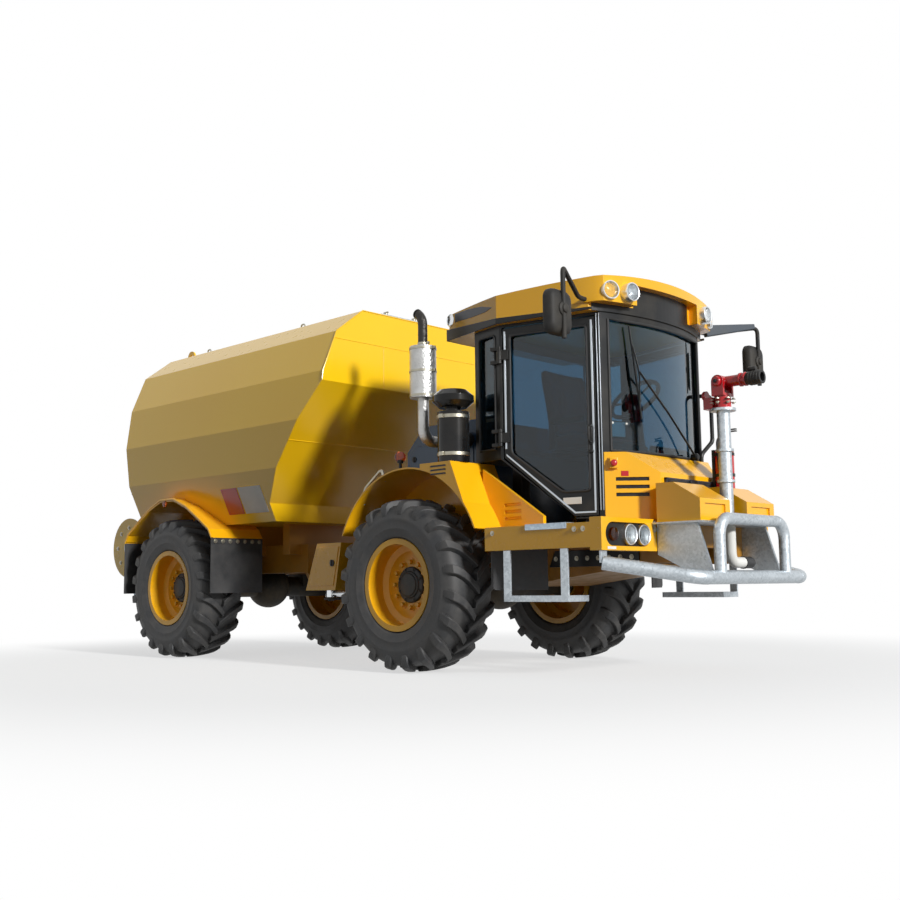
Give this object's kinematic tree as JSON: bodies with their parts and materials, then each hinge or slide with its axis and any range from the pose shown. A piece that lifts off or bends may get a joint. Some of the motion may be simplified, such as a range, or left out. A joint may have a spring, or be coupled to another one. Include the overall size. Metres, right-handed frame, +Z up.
{
  "type": "articulated water cart",
  "caption": "Articulated water cart: front unit with glazed cab, fenders and water monitor, centre hitch that steers and rolls, rear unit with folded-plate water tank.",
  "frame": {"origin": "on the ground, midway along the overall length and width", "axes": "+X forward, +Y to the vehicle's left, +Z up"},
  "size_m": [6.667, 2.68, 2.9711],
  "materials": {
    "frame_paint": "satin",
    "body_paint": "gloss",
    "tank_paint": "gloss",
    "rim_paint": "satin",
    "black_paint": "satin",
    "galvanised": "galvanised",
    "axle_iron": "rough",
    "ram_chrome": "polished",
    "exhaust_steel": "heat stained",
    "tinted_glass": "polished",
    "lamp_glass": "clear",
    "lamp_red": "moulded",
    "red_paint": "gloss",
    "nozzle_plastic": "moulded",
    "rubber": "moulded",
    "tyre": "moulded",
    "seat_fabric": "woven"
  },
  "bodies": {
    "front": {"front_frame": "frame_paint", "front_axle": "axle_iron", "engine": "axle_iron", "engine_hood": "black_paint", "front_fenders": "body_paint", "side_decks": "body_paint", "front_lamps": "lamp_glass", "steps": "galvanised", "cab_shell": "black_paint", "cab_glass": "tinted_glass", "cab_roof": "body_paint", "roof_lamps": "lamp_glass", "nose": "body_paint", "nose_grille": "black_paint", "bull_bar": "galvanised", "bar_arms": "galvanised", "front_lockers": "body_paint", "standpipe": "galvanised", "air_cleaner": "black_paint", "exhaust": "exhaust_steel", "side_boxes": "frame_paint", "mirrors": "black_paint", "seat": "seat_fabric", "steering_column": "black_paint", "extinguisher": "red_paint", "handrail": "black_paint"},
    "door_right": {"door_right": "black_paint", "door_glass_right": "tinted_glass"},
    "door_left": {"door_left": "black_paint", "door_glass_left": "tinted_glass"},
    "monitor_turret": {"monitor_turret": "red_paint"},
    "monitor_barrel": {"monitor_barrel": "red_paint", "monitor_nozzle": "nozzle_plastic"},
    "hitch": {"hitch": "axle_iron"},
    "ram_barrel_left": {"ram_barrel_left": "axle_iron"},
    "ram_rod_left": {"ram_rod_left": "ram_chrome"},
    "ram_barrel_right": {"ram_barrel_right": "axle_iron"},
    "ram_rod_right": {"ram_rod_right": "ram_chrome"},
    "rear": {"rear_frame": "frame_paint", "rear_axle": "axle_iron", "tank": "tank_paint", "overflow_pipe": "black_paint", "tank_hatch": "galvanised", "rear_fenders": "body_paint", "mudflaps": "rubber", "rear_spray": "exhaust_steel", "tail_lamps": "lamp_red"},
    "hose_reel": {"hose_reel": "tank_paint"},
    "hatch_lid": {"hatch_lid": "galvanised"},
    "wheel_front_left": {"tyre_front_left": "tyre", "rim_front_left": "rim_paint"},
    "wheel_front_right": {"tyre_front_right": "tyre", "rim_front_right": "rim_paint"},
    "wheel_rear_left": {"tyre_rear_left": "tyre", "rim_rear_left": "rim_paint"},
    "wheel_rear_right": {"tyre_rear_right": "tyre", "rim_rear_right": "rim_paint"}
  },
  "joints": [
    {"name": "steer", "type": "hinge", "parent": "front", "child": "hitch", "pos_m": [-0.4065, 0, 0.77], "axis": [0, 0, 1], "range_deg": [-40, 40]},
    {"name": "roll", "type": "hinge", "parent": "hitch", "child": "rear", "pos_m": [-0.7565, 0, 0.77], "axis": [1, 0, 0], "range_deg": [-10, 10]},
    {"name": "roll_front_left", "type": "hinge", "parent": "front", "child": "wheel_front_left", "pos_m": [0.9935, 0.92, 0.625], "axis": [0, 1, 0], "continuous": true},
    {"name": "roll_front_right", "type": "hinge", "parent": "front", "child": "wheel_front_right", "pos_m": [0.9935, -0.92, 0.625], "axis": [0, 1, 0], "continuous": true},
    {"name": "roll_rear_left", "type": "hinge", "parent": "rear", "child": "wheel_rear_left", "pos_m": [-2.0135, 0.92, 0.625], "axis": [0, 1, 0], "continuous": true},
    {"name": "roll_rear_right", "type": "hinge", "parent": "rear", "child": "wheel_rear_right", "pos_m": [-2.0135, -0.92, 0.625], "axis": [0, 1, 0], "continuous": true},
    {"name": "door_right", "type": "hinge", "parent": "front", "child": "door_right", "pos_m": [1.74548, -0.81564, 1.9], "axis": [0, 0, -1], "range_deg": [0, 80]},
    {"name": "door_left", "type": "hinge", "parent": "front", "child": "door_left", "pos_m": [1.74548, 0.81564, 1.9], "axis": [0, 0, 1], "range_deg": [0, 80]},
    {"name": "monitor_pan", "type": "hinge", "parent": "front", "child": "monitor_turret", "pos_m": [3.0335, 0, 1.85], "axis": [0, 0, 1], "range_deg": [-160, 160]},
    {"name": "monitor_lift", "type": "hinge", "parent": "monitor_turret", "child": "monitor_barrel", "pos_m": [3.0335, 0, 1.96], "axis": [0, -1, 0], "range_deg": [-30, 80]},
    {"name": "reel_spin", "type": "hinge", "parent": "rear", "child": "hose_reel", "pos_m": [-3.0435, -0.7, 1.02], "axis": [0, 1, 0], "continuous": true},
    {"name": "hatch_lid", "type": "hinge", "parent": "rear", "child": "hatch_lid", "pos_m": [-0.5455, 0, 2.9573], "axis": [0, -1, 0], "range_deg": [0, 110]},
    {"name": "ram_swing_left", "type": "hinge", "parent": "front", "child": "ram_barrel_left", "pos_m": [0.4335, 0.37, 0.56], "axis": [0, 0, 1], "range_deg": [-8, 8]},
    {"name": "ram_stroke_left", "type": "slide", "parent": "ram_barrel_left", "child": "ram_rod_left", "axis": [-1, 0, 0], "range_m": [-0.25, 0.25]},
    {"name": "ram_swing_right", "type": "hinge", "parent": "front", "child": "ram_barrel_right", "pos_m": [0.4335, -0.37, 0.56], "axis": [0, 0, 1], "range_deg": [-8, 8]},
    {"name": "ram_stroke_right", "type": "slide", "parent": "ram_barrel_right", "child": "ram_rod_right", "axis": [-1, 0, 0], "range_m": [-0.25, 0.25]}
  ],
  "couplings": [
    {"joint": "ram_swing_left", "follows": "steer", "ratio": 0.181},
    {"joint": "ram_stroke_left", "follows": "steer", "m_per_rad": 0.354},
    {"joint": "ram_swing_right", "follows": "steer", "ratio": 0.181},
    {"joint": "ram_stroke_right", "follows": "steer", "m_per_rad": -0.354}
  ]
}
